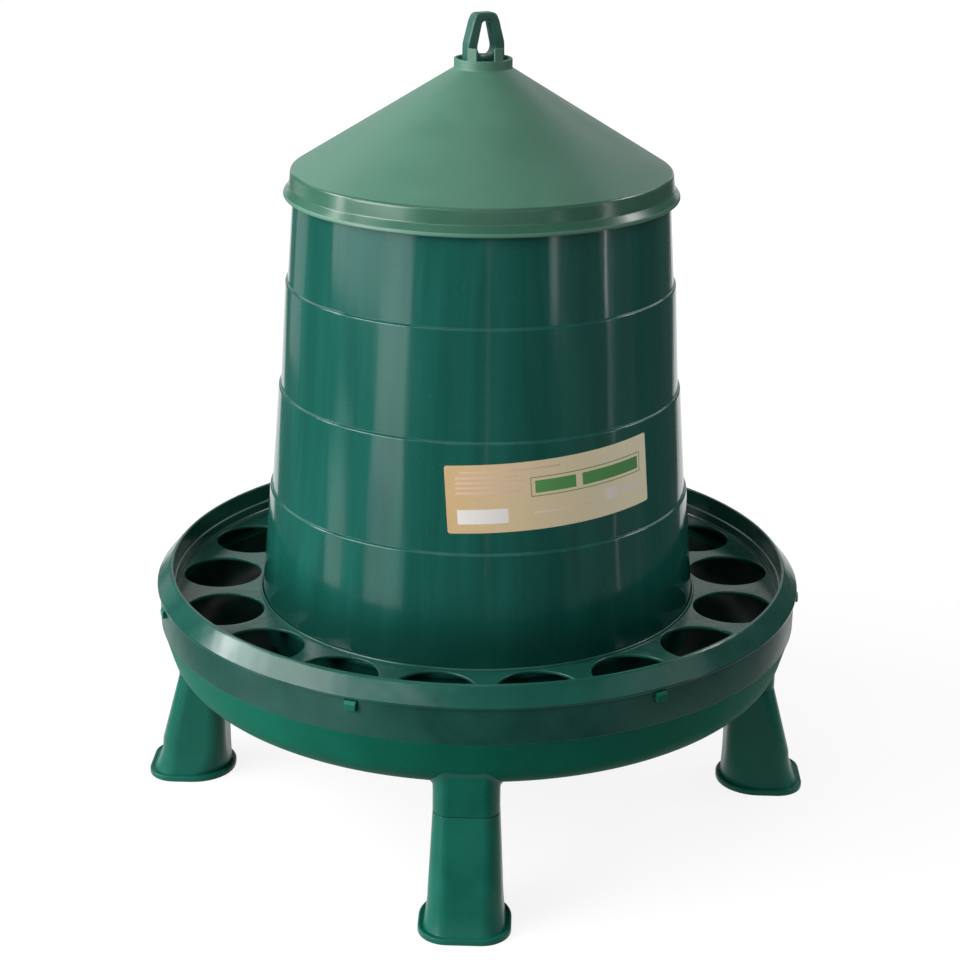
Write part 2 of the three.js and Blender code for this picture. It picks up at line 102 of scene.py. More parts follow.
def makePiece(name, bm, body, slot, node, *finishes, sharpAngle=mesher["sharp"]):
    bmesh.ops.remove_doubles(bm, verts=bm.verts, dist=mesher["weldGap"])
    bmesh.ops.recalc_face_normals(bm, faces=bm.faces)
    bmesh.ops.scale(bm, vec=(mm, mm, mm), verts=bm.verts)
    mesh = bpy.data.meshes.new(name)
    bm.to_mesh(mesh)
    bm.free()
    mesh.polygons.foreach_set("use_smooth", [True] * len(mesh.polygons))
    mesh.set_sharp_from_angle(angle=math.radians(sharpAngle))
    piece = bpy.data.objects.new(name, mesh)
    bpy.context.scene.collection.objects.link(piece)
    weighted = piece.modifiers.new("weighted normals", "WEIGHTED_NORMAL")
    weighted.keep_sharp = True
    weighted.weight = mesher["areaWeight"]
    for finish in finishes:
        mesh.materials.append(finish)
    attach(piece, body)
    if node:
        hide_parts(node)


def markFaces(bm, isOther):  # faces where isOther(radius, height) holds take the second finish
    for face in bm.faces:
        middle = face.calc_center_median()
        face.material_index = int(isOther(math.hypot(middle.x, middle.y), middle.z))


def apart(a, b):  # the angle between two turns
    return abs((a - b + math.pi) % fullTurn - math.pi)


def turned(bm, profile, windows=()):
    # profile is a closed outline of (radius, height), a window is (turn, half width, outer row, inner row)
    angles = [fullTurn * k / turnSteps for k in range(turnSteps)]
    for turn, halfTurn, _, _ in windows:
        edges = [(turn + side * halfTurn) % fullTurn for side in (-1, 1)]
        angles = [a for a in angles if all(abs(a - e) > math.pi / turnSteps for e in edges)] + edges
    angles.sort()
    rows = len(profile)
    columns = [[bm.verts.new((p.x * math.cos(a), p.x * math.sin(a), p.y)) for p in profile] for a in angles]
    for c, column in enumerate(columns):
        n = (c + 1) % len(columns)
        following = columns[n]
        middle = angles[c] + (angles[n] - angles[c]) % fullTurn / 2
        cuts = [w for w in windows if apart(middle, w[0]) < w[1]]
        skipped = {row for w in cuts for row in w[2:]}
        for r in range(rows):
            s = (r + 1) % rows
            if r in skipped or max(profile[r].x, profile[s].x) < tiny:
                continue
            bm.faces.new((column[r], following[r], following[s], column[s]))
        for turn, halfTurn, outerRow, innerRow in cuts:  # the window's sill, head and two sides
            for a, b in ((outerRow, innerRow + 1), (outerRow + 1, innerRow)):
                bm.faces.new((column[a], following[a], following[b % rows], column[b % rows]))
            for side, cutColumn, at in ((-1, column, angles[c]), (1, following, angles[n])):
                if apart(at, (turn + side * halfTurn) % fullTurn) < tiny:
                    bm.faces.new((cutColumn[outerRow], cutColumn[outerRow + 1],
                                  cutColumn[innerRow], cutColumn[(innerRow + 1) % rows]))


def bridged(bm, rings):  # faces between rings that have the same number of points
    for ring, following in zip(rings, rings[1:]):
        for i in range(len(ring)):
            j = (i + 1) % len(ring)
            bm.faces.new((ring[i], ring[j], following[j], following[i]))


def lofted(bm, sections, turn, capEnd=False):  # each section is a ring of (x, y, z)
    spin = Matrix.Rotation(turn, 4, "Z")
    rings = [[bm.verts.new(spin @ Vector(p)) for p in section] for section in sections]
    bridged(bm, rings)
    if capEnd:
        bm.faces.new(rings[-1])


def plated(bm, outline, thickness, turn, edge, eye=None):
    # an upright plate of (along, height) points in the plane at the given turn, its edges rounded
    plate = bmesh.new()
    edges = []
    for loop in (outline, eye) if eye else (outline,):
        verts = [plate.verts.new((p.x, thickness / 2, p.y)) for p in loop]
        edges += [plate.edges.new((verts[i], verts[(i + 1) % len(verts)])) for i in range(len(verts))]
    filled = bmesh.ops.triangle_fill(plate, edges=edges, use_beauty=True)
    faces = [f for f in filled["geom"] if isinstance(f, bmesh.types.BMFace)]
    grown = bmesh.ops.extrude_face_region(plate, geom=faces)["geom"]
    moved = [v for v in grown if isinstance(v, bmesh.types.BMVert)]
    bmesh.ops.translate(plate, vec=(0, -thickness, 0), verts=moved)
    bmesh.ops.recalc_face_normals(plate, faces=plate.faces)
    rims = [e for e in plate.edges if len(e.link_faces) == 2 and e.calc_face_angle() > mesher["rim"]]
    bmesh.ops.bevel(plate, geom=rims, offset=edge, segments=mesher["bevelSteps"], profile=0.5,
                    affect="EDGES")
    bmesh.ops.rotate(plate, cent=(0, 0, 0), matrix=Matrix.Rotation(turn, 3, "Z"), verts=plate.verts)
    scratch = bpy.data.meshes.new("scratch")
    plate.to_mesh(scratch)
    plate.free()
    bm.from_mesh(scratch)
    bpy.data.meshes.remove(scratch)


# Materials

def toLinear(hexColour):
    parts = [int(hexColour[i:i + 2], 16) / 255 for i in (1, 3, 5)]
    return [v / 12.92 if v <= 0.04045 else ((v + 0.055) / 1.055) ** 2.4 for v in parts] + [1]


def addNode(tree, kind, settings=None, links=None):
    node = tree.nodes.new(kind)
    for name, value in (settings or {}).items():
        if isinstance(name, int) or name in node.inputs:
            node.inputs[name].default_value = value
        else:
            setattr(node, name, value)
    for name, source in (links or {}).items():
        tree.links.new(source, node.inputs[name])
    return node


def newMaterial(name):
    material = bpy.data.materials.new(name)
    material.use_nodes = True
    tree = material.node_tree
    tree.nodes.clear()
    return material, tree


def recycledPolypropyleneMoulded(name, look):
    # Injection-moulded recycled polypropylene: one even colour with faint flow clouds and specks of the
    # regrind, a gloss that dulls a little in patches, and walls that ripple slightly where they cooled.
    material, tree = newMaterial(name)
    place = addNode(tree, "ShaderNodeTexCoord")
    drawn = addNode(tree, "ShaderNodeMapping", {"Scale": (1, 1, look["cloudStretch"])},
                    {"Vector": place.outputs["Object"]})
    clouds = addNode(tree, "ShaderNodeTexNoise", {"Scale": 1 / (look["cloudSize"] * mm), "Detail": 3,
                     "Roughness": 0.55, "Distortion": 0.8}, {"Vector": drawn.outputs["Vector"]})
    specks = addNode(tree, "ShaderNodeTexNoise", {"Scale": 1 / (look["speckSize"] * mm), "Detail": 1},
                     {"Vector": place.outputs["Object"]})
    shade = addNode(tree, "ShaderNodeValToRGB", None, {"Fac": clouds.outputs["Fac"]})
    shade.color_ramp.elements[0].position = 0.32
    shade.color_ramp.elements[0].color = toLinear(look["deep"])
    shade.color_ramp.elements[1].position = 0.68
    shade.color_ramp.elements[1].color = toLinear(look["pale"])
    speckMask = addNode(tree, "ShaderNodeMapRange", {"From Min": 0.66, "From Max": 0.76,
                        "To Max": look["speckShare"]}, {"Value": specks.outputs["Fac"]})
    colour = addNode(tree, "ShaderNodeMix", {"data_type": "RGBA", 7: toLinear(look["speck"])},
                     {0: speckMask.outputs["Result"], 6: shade.outputs["Color"]})
    # painted shade: the colour darkens towards the thick colour near the foot, where the grid's rim and
    # plate shade the tube
    if "footShadeFrom" in look:  # a deeper green towards the foot
        up = addNode(tree, "ShaderNodeSeparateXYZ", None, {"Vector": place.outputs["Object"]})
        thick = addNode(tree, "ShaderNodeMapRange", {"interpolation_type": "SMOOTHSTEP",
                        "From Min": look["footShadeFrom"] * mm, "From Max": look["footShadeTo"] * mm,
                        "To Min": look["footShadeShare"], "To Max": 0}, {"Value": up.outputs["Z"]})
        colour = addNode(tree, "ShaderNodeMix", {"data_type": "RGBA", 7: toLinear(look["thick"])},
                         {0: thick.outputs["Result"], 6: colour.outputs[2]})
    dulled = addNode(tree, "ShaderNodeMapRange", {"From Min": 0.3, "From Max": 0.7,
                     "To Min": look["roughness"] * 0.85, "To Max": look["roughness"] * 1.2},
                     {"Value": clouds.outputs["Fac"]})
    stretched = addNode(tree, "ShaderNodeMapping", {"Scale": (1, 1, look["rippleStretch"])},
                        {"Vector": place.outputs["Object"]})
    ripple = addNode(tree, "ShaderNodeTexNoise", {"Scale": 1 / (look["rippleSize"] * mm), "Detail": 1},
                     {"Vector": stretched.outputs["Vector"]})
    grain = addNode(tree, "ShaderNodeTexNoise", {"Scale": 1 / (look["grainSize"] * mm), "Detail": 2},
                    {"Vector": place.outputs["Object"]})
    rippled = addNode(tree, "ShaderNodeBump", {"Strength": 1, "Distance": look["rippleDepth"] * mm},
                      {"Height": ripple.outputs["Fac"]})
    grained = addNode(tree, "ShaderNodeBump", {"Strength": 1, "Distance": look["grainDepth"] * mm},
                      {"Height": grain.outputs["Fac"], "Normal": rippled.outputs["Normal"]})
    shader = addNode(tree, "ShaderNodeBsdfPrincipled",
                     {"IOR": 1.49, "Specular IOR Level": look["specular"]},
                     {"Base Color": colour.outputs[2], "Roughness": dulled.outputs["Result"],
                      "Normal": grained.outputs["Normal"]})
    addNode(tree, "ShaderNodeOutputMaterial", None, {"Surface": shader.outputs["BSDF"]})
    return material


# Three plastics, each with its own regrind and grain, and nine finishes, each with its own gloss;
# the lid's wall and the trough's inside are darker copies painted as shade, the hopper's near its foot.

bottleGreen = {
    "speck": "#2f7d70", "speckSize": 1.1, "cloudStretch": 1, "rippleStretch": 1,
    "grainSize": 1.6, "grainDepth": 0.004,
}
leafGreen = {
    "speck": "#2b8770", "speckShare": 0.3, "speckSize": 1.1, "cloudSize": 50, "cloudStretch": 1,
    "rippleSize": 30, "rippleStretch": 0.5, "rippleDepth": 0.2, "grainSize": 1.4, "grainDepth": 0.006,
}
sageGreen = {
    "speck": "#6c9486", "speckSize": 1.0, "cloudSize": 70, "cloudStretch": 1, "rippleStretch": 1,
    "grainSize": 1.2,
}
# The hopper: a polished wall that mirrors the room in upright streaks
bottleGreenGloss = recycledPolypropyleneMoulded("bottleGreenPolypropyleneGloss", {
    **bottleGreen, "deep": "#124f46", "pale": "#195c52", "speckShare": 0.3, "cloudSize": 18,
    "cloudStretch": 0.04, "rippleSize": 11, "rippleStretch": 0.04, "rippleDepth": 0.24,
    "roughness": 0.13, "specular": 0.45,
    # painted shade: the tube darkens to the thick colour towards its foot, where the rim and plate shade it
    "footShadeFrom": 150, "footShadeTo": 192, "footShadeShare": 0.8, "thick": "#0c352d"})
# The grid ring: ripples that break what they mirror into soft pools
bottleGreenRippled = recycledPolypropyleneMoulded("bottleGreenPolypropyleneRippled", {
    **bottleGreen, "deep": "#13493f", "pale": "#19564b", "speckShare": 0.15, "cloudSize": 45,
    "rippleSize": 15, "rippleDepth": 0.32, "roughness": 0.2, "specular": 0.5})
# The ring's skirt: only blurred light and dark
bottleGreenDull = recycledPolypropyleneMoulded("bottleGreenPolypropyleneDull", {
    **bottleGreen, "deep": "#14443b", "pale": "#1a5046", "speckShare": 0.15, "cloudSize": 45,
    "rippleSize": 15, "rippleDepth": 0.2, "roughness": 0.36, "specular": 0.35})
# The hanger: flat faces with hardly a ripple, a little paler
bottleGreenSatin = recycledPolypropyleneMoulded("bottleGreenPolypropyleneSatin", {
    **bottleGreen, "deep": "#1c5549", "pale": "#255f54", "speckShare": 0.3, "speckSize": 1.0,
    "cloudSize": 30, "rippleSize": 9, "rippleDepth": 0.06, "grainSize": 1.2, "grainDepth": 0.006,
    "roughness": 0.4, "specular": 0.6})
# Legs, stubs and hooks: a brighter green with weak, soft lights along the edges
leafGreenGloss = recycledPolypropyleneMoulded("leafGreenPolypropyleneGloss", {
    **leafGreen, "deep": "#115b4c", "pale": "#166656", "roughness": 0.3, "specular": 0.16})
# The bowl: the same green with hardly a reflection
leafGreenSatin = recycledPolypropyleneMoulded("leafGreenPolypropyleneSatin", {
    **leafGreen, "deep": "#0f5d4b", "pale": "#146753", "roughness": 0.5, "specular": 0.03})
# The trough's inside and its ribs: painted shade, a near-black copy of the leaf green for the shade inside
# the trough seen through the holes
leafGreenPaintedShade = recycledPolypropyleneMoulded("leafGreenPolypropylenePaintedShade", {
    **leafGreen, "deep": "#08251d", "pale": "#0b3027", "speck": "#14473b", "speckShare": 0.2,
    "roughness": 0.4, "specular": 0.2})
# The lid's cone: an even, pale sheen
sageGreenSatin = recycledPolypropyleneMoulded("sageGreenPolypropyleneSatin", {
    **sageGreen, "deep": "#44735f", "pale": "#4c7d69", "speckShare": 0.25, "rippleSize": 45,
    "rippleDepth": 0.1, "grainDepth": 0.008, "roughness": 0.45, "specular": 0.6})
# The lid's short wall: darker and sharp in what it mirrors; the gloss is its own, the darker green is
# painted shade on the sideways-facing wall
sageGreenGlossPaintedShade = recycledPolypropyleneMoulded("sageGreenPolypropyleneGlossPaintedShade", {
    **sageGreen, "deep": "#325f4c", "pale": "#3a6855", "speckShare": 0.2, "rippleSize": 22,
    "rippleDepth": 0.12, "grainDepth": 0.004, "roughness": 0.2, "specular": 0.5})


def kraftPaperPrinted(name, look):
    # Uncoated kraft paper, printed in flat inks: matt, warm brown, with short fibres across the sheet
    # and a little paler towards one end, painted light for the end that the lamps leave darker.
    material, tree = newMaterial(name)
    sheet = addNode(tree, "ShaderNodeUVMap", {"uv_map": "sheet"})
    place = addNode(tree, "ShaderNodeTexCoord")
    fibres = addNode(tree, "ShaderNodeTexNoise", {"Scale": 1 / (look["fibreSize"] * mm), "Detail": 4,
                     "Roughness": 0.7, "Distortion": 1.5}, {"Vector": place.outputs["Object"]})
    paper = addNode(tree, "ShaderNodeValToRGB", None, {"Fac": fibres.outputs["Fac"]})
    paper.color_ramp.elements[0].position = 0.3
    paper.color_ramp.elements[0].color = toLinear(look["deep"])
    paper.color_ramp.elements[1].position = 0.7
    paper.color_ramp.elements[1].color = toLinear(look["pale"])
    split = addNode(tree, "ShaderNodeSeparateXYZ", None, {"Vector": sheet.outputs["UV"]})
    # painted light: the paper pales along the sheet towards the end the lamps light less
    paintedLight = addNode(tree, "ShaderNodeMapRange", {"From Max": look["paintedLightLength"]},
                    {"Value": split.outputs["X"]})
    colour = addNode(tree, "ShaderNodeMix", {"data_type": "RGBA", 7: toLinear(look["paintedLight"])},
                     {0: paintedLight.outputs["Result"], 6: paper.outputs["Color"]}).outputs[2]

    def within(low, high, source):
        centre = addNode(tree, "ShaderNodeMath", {"operation": "SUBTRACT", 1: (low + high) / 2},
                         {0: source})
        size = addNode(tree, "ShaderNodeMath", {"operation": "ABSOLUTE"}, {0: centre.outputs[0]})
        return addNode(tree, "ShaderNodeMath", {"operation": "LESS_THAN", 1: (high - low) / 2},
                       {0: size.outputs[0]}).outputs[0]

    def joined(a, b, operation):
        return addNode(tree, "ShaderNodeMath", {"operation": operation}, {0: a, 1: b}).outputs[0]

    def boxMask(left, bottom, right, top):
        return joined(within(left, right, split.outputs["X"]), within(bottom, top, split.outputs["Y"]),
                      "MULTIPLY")

    for left, bottom, right, top, ink, line in look["prints"]:
        mask = boxMask(left, bottom, right, top)
        if line:
            mask = joined(mask, boxMask(left + line, bottom + line, right - line, top - line), "SUBTRACT")
        colour = addNode(tree, "ShaderNodeMix", {"data_type": "RGBA", 7: toLinear(ink)},
                         {0: mask, 6: colour}).outputs[2]
    tooth = addNode(tree, "ShaderNodeBump", {"Strength": 1, "Distance": look["toothDepth"] * mm},
                    {"Height": fibres.outputs["Fac"]})
    shader = addNode(tree, "ShaderNodeBsdfPrincipled", {"Roughness": 0.55, "IOR": 1.45},
                     {"Base Color": colour, "Normal": tooth.outputs["Normal"]})
    addNode(tree, "ShaderNodeOutputMaterial", None, {"Surface": shader.outputs["BSDF"]})
    return material


print("materials ready")

# Tray: bowl, spreading cone and the stubs that the legs push onto

trayLow, trayHigh = levels("tray")
ringLow, ringHigh = levels("grid_ring")
hopperLow, hopperHigh = levels("hopper")
legLow, legHigh = levels("leg_front")
legReach = -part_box("leg_front")[0].y / mm

tray = {
    "wall": 2.5, "tenonLength": 20, "stubHeight": 16.1, "rimInset": 2.4, "shoulderInset": 0.5,
    "bowlTaper": 15.5, "bowlStraight": 18, "coneFoot": 124, "coneTop": 9, "coneRise": 56, "arcSteps": 12,
    "ribs": 8, "firstRib": 22.5, "ribThick": 3, "ribInner": 92, "ribOuter": 141.5,
    "hooks": 7, "firstHook": -57.3, "hookWidth": 7.2, "hookHeight": 5.8, "hookReach": 2.6,
    "hookCrown": 1.3, "hookDrop": 1.2, "legs": 4, "frontLeg": -90,
}
overhang = 1.6  # how far the ring's band stands out over its skirt
skirtR = reachOf("grid_ring") - overhang
seat = 0.3
seam = trayLow + tray["tenonLength"]  # where the legs meet their stubs
trayUnder = seam + tray["stubHeight"]
trayFloor = trayUnder + tray["wall"]
bandEdge = trayHigh + seat
bowlR = skirtR - tray["shoulderInset"]
rimR = skirtR - tray["rimInset"]
taper = math.radians(tray["bowlTaper"])
wallFootR = bowlR - tray["bowlStraight"] * math.tan(taper)
wallFootZ = ringLow - tray["bowlStraight"]
bendR = (wallFootZ - trayUnder) / (1 - math.sin(taper))
bendAt = Vector((wallFootR - bendR * math.cos(taper), trayUnder + bendR))


def bowlUnder(radius):  # height of the bowl's outside above the floor, at a radius
    if radius <= bendAt.x:
        return trayUnder
    if radius >= wallFootR:
        return wallFootZ + (radius - wallFootR) / math.tan(taper)
    return bendAt.y - math.sqrt(bendR ** 2 - (radius - bendAt.x) ** 2)


def bowlBend(radius, start, end):  # the bend between the bowl's bottom and its wall
    turns = [start + (end - start) * k / tray["arcSteps"] for k in range(tray["arcSteps"] + 1)]
    return [(bendAt.x + radius * math.cos(a), bendAt.y + radius * math.sin(a), 0) for a in turns]


def buildTray():
    wall = tray["wall"]
    slope = tray["coneRise"] / (tray["coneFoot"] - tray["coneTop"])
    underTop = trayUnder + (tray["coneFoot"] - wall - tray["coneTop"]) * slope
    coneTop = trayFloor + tray["coneRise"]
    shoulder = ringLow - seat
    bm = bmesh.new()
    turned(bm, rounded(
        [(0, underTop, 0), (tray["coneTop"], underTop, 2), (tray["coneFoot"] - wall, trayUnder, 3)]
        + bowlBend(bendR, -math.pi / 2, -taper)
        + [(bowlR, shoulder, 0.5), (rimR, shoulder, 0.3), (rimR, trayHigh, 0.6),
           (rimR - wall, trayHigh, 0.6), (rimR - wall, shoulder + wall, 2),
           (bowlR - wall, shoulder - wall, 2)]
        + bowlBend(bendR - wall, -taper, -math.pi / 2)
        + [(tray["coneFoot"], trayFloor, 5), (tray["coneTop"], coneTop, 4), (0, coneTop, 0)]))
    # painted shade: faces inside the trough take the near-black second finish
    markFaces(bm, lambda radius, z: z > bowlUnder(radius) + wall * 0.6 and radius < rimR - wall)
    makePiece("trayBowl", bm, "feeder", "leaf_green_plastic", "tray", leafGreenSatin, leafGreenPaintedShade)
    bm = bmesh.new()
    low = trayFloor - wall / 2
    rib = rounded([
        (tray["ribInner"], trayFloor + (tray["coneFoot"] - tray["ribInner"]) * slope - wall / 2, 0),
        (tray["coneFoot"], low, 0), (tray["ribOuter"], low, 0), (tray["ribOuter"], hopperLow - seat, 1.5),
        (tray["ribInner"], hopperLow - seat, 0)])
    for turn in turnsOf(tray["ribs"], tray["firstRib"]):
        plated(bm, rib, tray["ribThick"], turn, 0.5)
    # the ribs inside the trough take the painted shade as well
    makePiece("traySpreaderRibs", bm, "feeder", "leaf_green_plastic", None, leafGreenPaintedShade)
    bm = bmesh.new()
    root, reach = rimR - wall / 2, skirtR + tray["hookReach"]
    top = bandEdge - tray["hookDrop"]
    low = top - tray["hookHeight"]
    hook = rounded([
        (root, low, 0), (reach, low, 0.5), (reach, top - tray["hookHeight"] / 3, 0.6),
        (skirtR + tray["hookCrown"], top, 0.5), (root, top, 0)])
    for turn in turnsOf(tray["hooks"], tray["firstHook"]):
        plated(bm, hook, tray["hookWidth"], turn, 0.45)
    makePiece("traySnapHooks", bm, "feeder", "leaf_green_plastic", None, leafGreenGloss)


# Legs: hollow, pushed over the tenons, with a flared foot that has a low lip round it

leg = {
    "wall": 2.4, "slideGap": 0.4, "topDepth": 30.1, "topHalf": 20, "topCorner": 10,
    "shinHeight": 26, "shinDepth": 42.5, "shinHalf": 22.2, "shinCorner": 12,
    "flareEven": 0.25, "flarePower": 2.4, "flareInset": 1.3, "heelInset": 0.6, "tightest": 1.5,
    "heelReach": 4.7, "footDepth": 52.5, "footHalf": 28, "footOuterCorner": 18, "footInnerCorner": 27,
    "lipHeight": 3.8, "lipWidth": 2.2, "lipRound": 0.9, "cornerSteps": 10,
    "levels": (5, 7, 9, 12, 15, 19, 23, 26, 34, 44, 54, 64),
    "tenonWall": 2.2, "tenonRound": 0.4, "coreCorner": 1.1,
}
legInner = legReach - leg["footDepth"]


def legSection(inner, outer, half, outerCorner, innerCorner, height):
    points = []
    for x, y, radius, first in ((outer, half, outerCorner, 0), (inner, half, innerCorner, 90),
                                (inner, -half, innerCorner, 180), (outer, -half, outerCorner, 270)):
        cx = x - math.copysign(radius, x - (inner + outer) / 2)
        cy = y - math.copysign(radius, y)
        for k in range(leg["cornerSteps"] + 1):
            angle = math.radians(first + 90 * k / leg["cornerSteps"])
            px, py = cx + radius * math.cos(angle), cy + radius * math.sin(angle)
            points.append((px, py, height(px) if callable(height) else height))
    return points


def footSection(inset, height):
    return legSection(legInner - leg["heelReach"] + inset, legInner + leg["footDepth"] - inset,
                      leg["footHalf"] - inset, leg["footOuterCorner"] - inset,
                      leg["footInnerCorner"] - inset, height)


def shinSection(height, inset=0):  # the leg above its lip, at any height
    shin, lip = leg["shinHeight"], leg["lipWidth"]
    middle = (leg["shinDepth"], leg["shinHalf"], leg["shinCorner"], leg["shinCorner"], 0)
    if height >= shin:
        curve = (legHigh - height) / (legHigh - shin)
        near = (leg["topDepth"], leg["topHalf"], leg["topCorner"], leg["topCorner"], 0)
        far = middle
    else:
        share = (shin - height) / (shin - leg["lipHeight"])
        curve = leg["flareEven"] * share + (1 - leg["flareEven"]) * share ** leg["flarePower"]
        near = middle
        far = (leg["footDepth"] - lip - leg["flareInset"], leg["footHalf"] - lip - leg["flareInset"],
               leg["footOuterCorner"] - lip, leg["footInnerCorner"] - lip,
               leg["heelReach"] - lip - leg["heelInset"])
    depth, half, outerCorner, innerCorner, heel = (a + (b - a) * curve for a, b in zip(near, far))
    return legSection(legInner - heel + inset, legInner + depth - inset, half - inset,
                      max(outerCorner - inset, leg["tightest"]), max(innerCorner - inset, leg["tightest"]),
                      height)


def buildLegs():
    lip, edge, wall, width = leg["lipHeight"], leg["lipRound"], leg["wall"], leg["lipWidth"]
    inside = wall + width
    heights = [lip - 0.5, *leg["levels"], legHigh - 0.5]
    foot = (  # inset and height, from the hollow's edge round the sole to the top of the lip
        (inside, legLow + 0.3), (inside - 0.3, legLow), (0.4, legLow), (0.1, legLow + 0.15),
        (0, legLow + 0.5), (0, lip - edge), (edge * 0.3, lip - edge * 0.35), (edge, lip),
        (width - 0.5, lip - 0.05), (width, lip - 0.5))
    mouth = ((0.15, legHigh), (0.4, legHigh), (wall - 0.2, legHigh), (wall, legHigh - 0.3))
    sections = [footSection(inset, height) for inset, height in foot]
    sections += [shinSection(height) for height in heights]
    sections += [shinSection(height, inset) for inset, height in mouth]
    sections += [shinSection(height, wall) for height in reversed(heights[3:-1])]
    sections += [footSection(inside, lip + 2), sections[0]]
    for side, turn in zip(("front", "right", "back", "left"), turnsOf(tray["legs"], tray["frontLeg"])):
        bm = bmesh.new()
        lofted(bm, sections, turn)
        node = "leg_" + side
        makePiece("leg" + side.capitalize(), bm, node, "leaf_green_plastic", node, leafGreenGloss,
                  sharpAngle=60)


def buildStubs():
    inset = leg["wall"] + leg["slideGap"]
    outer, half, outside = legInner + leg["topDepth"], leg["topHalf"], leg["topCorner"]
    tenon = outside - inset
    core, hollow = tenon - leg["coreCorner"], inset + leg["tenonWall"]
    flare = ((1.6, -0.8), (1.3, 0), (0.7, 0.5), (0.3, 1.2), (0.1, 2), (0, 4))  # spread and drop

    def ring(inward, height, radius=outside):
        return legSection(legInner + inward, outer - inward, half - inward, radius, radius, height)

    sections = [ring(-spread, lambda x, d=drop: bowlUnder(x) - d, outside + spread)
                for spread, drop in flare]
    sections += [ring(0, seam + 0.5), ring(0.15, seam + 0.12), ring(0.5, seam),
                 ring(inset, seam, tenon), ring(inset, trayLow + 1, tenon),
                 ring(inset + 0.5, trayLow, tenon - leg["tenonRound"]), ring(inset + 2, trayLow, core),
                 ring(hollow, trayLow + leg["tenonRound"], core), ring(hollow, trayUnder - 0.1, core)]
    bm = bmesh.new()
    for turn in turnsOf(tray["legs"], tray["frontLeg"]):
        lofted(bm, sections, turn, capEnd=True)
    makePiece("trayLegStubs", bm, "feeder", "leaf_green_plastic", None, leafGreenGloss, sharpAngle=60)


buildTray()
buildStubs()
buildLegs()
print("tray and legs built")

# Grid ring: perforated plate, raised rim with a sloping band, and a skirt with the hooks' windows

grid = {
    "holes": 17, "firstHole": -75.7, "holeMargin": 1.15, "holeEdge": 0.7, "holeSteps": 64, "overlap": 0.6,
    "plate": 2.2, "plateDrop": 18.7, "rimHalf": 1.3, "rimInset": 7.8, "skirtWall": 2.1, "ledgeRise": 6.4,
    "ledge": 1.2, "bandLip": 1.6, "beadRise": 1.4, "beadWidth": 1.7, "snapGap": 0.5,
}
plateTop = ringHigh - grid["plateDrop"]
plateUnder = plateTop - grid["plate"]
crownR = skirtR - grid["rimInset"]
rimInner = crownR - grid["rimHalf"]
plateOuter = rimInner - 2 * grid["ledge"]
flangeReach = 2.9  # how far the hopper's flange stands out under the plate
hopperFootR = reachOf("hopper") - flangeReach
plateInner = hopperFootR + leg["slideGap"]
beadOuter = plateInner + grid["beadWidth"]
holeRing = (beadOuter + plateOuter) / 2
holeR = (plateOuter - beadOuter) / 2 - grid["holeMargin"]


def holeSector(bm, turn):
    # one hole with its share of the plate, spread from the hole's rounded edge to the sector's outline
    inner, outer = beadOuter - grid["overlap"], plateOuter + grid["overlap"]
    halfSector = math.pi / grid["holes"]
    tangent = math.tan(halfSector)
    corners = [(r * math.cos(halfSector) - holeRing, r * math.sin(halfSector)) for r in (inner, outer)]
    angles = sorted([fullTurn * (k + 0.5) / grid["holeSteps"] - math.pi for k in range(grid["holeSteps"])]
                    + [side * math.atan2(y, x) for x, y in corners for side in (-1, 1)])

    def edgeOfSector(angle):  # how far the sector's outline lies from the hole's middle
        c, s = math.cos(angle), math.sin(angle)
        found = []
        for radius in (inner, outer):
            b = holeRing * c
            root = b * b - (holeRing ** 2 - radius ** 2)
            if root > 0:
                found += [-b - math.sqrt(root), -b + math.sqrt(root)]
        for side in (-1, 1):
            across = s - side * tangent * c
            if abs(across) > tiny:
                found.append(side * tangent * holeRing / across)
        return min(t for t in found if t > tiny)

    edge = grid["holeEdge"]
    lip = [(holeR + edge * (1 - math.sin(a)), edge * (1 - math.cos(a)))
           for a in (math.pi * k / 8 for k in range(5))]
    outline = [edgeOfSector(a) for a in angles]
    rows = [(outline, plateTop)]
    rows += [([reach] * len(angles), plateTop - drop) for reach, drop in lip]
    rows += [([reach] * len(angles), plateUnder + drop) for reach, drop in reversed(lip)]
    rows += [(outline, plateUnder)]
    spin = Matrix.Rotation(turn, 4, "Z")
    bridged(bm, [[bm.verts.new(spin @ Vector((holeRing + reach * math.cos(a), reach * math.sin(a), z)))
                  for reach, a in zip(reaches, angles)] for reaches, z in rows])


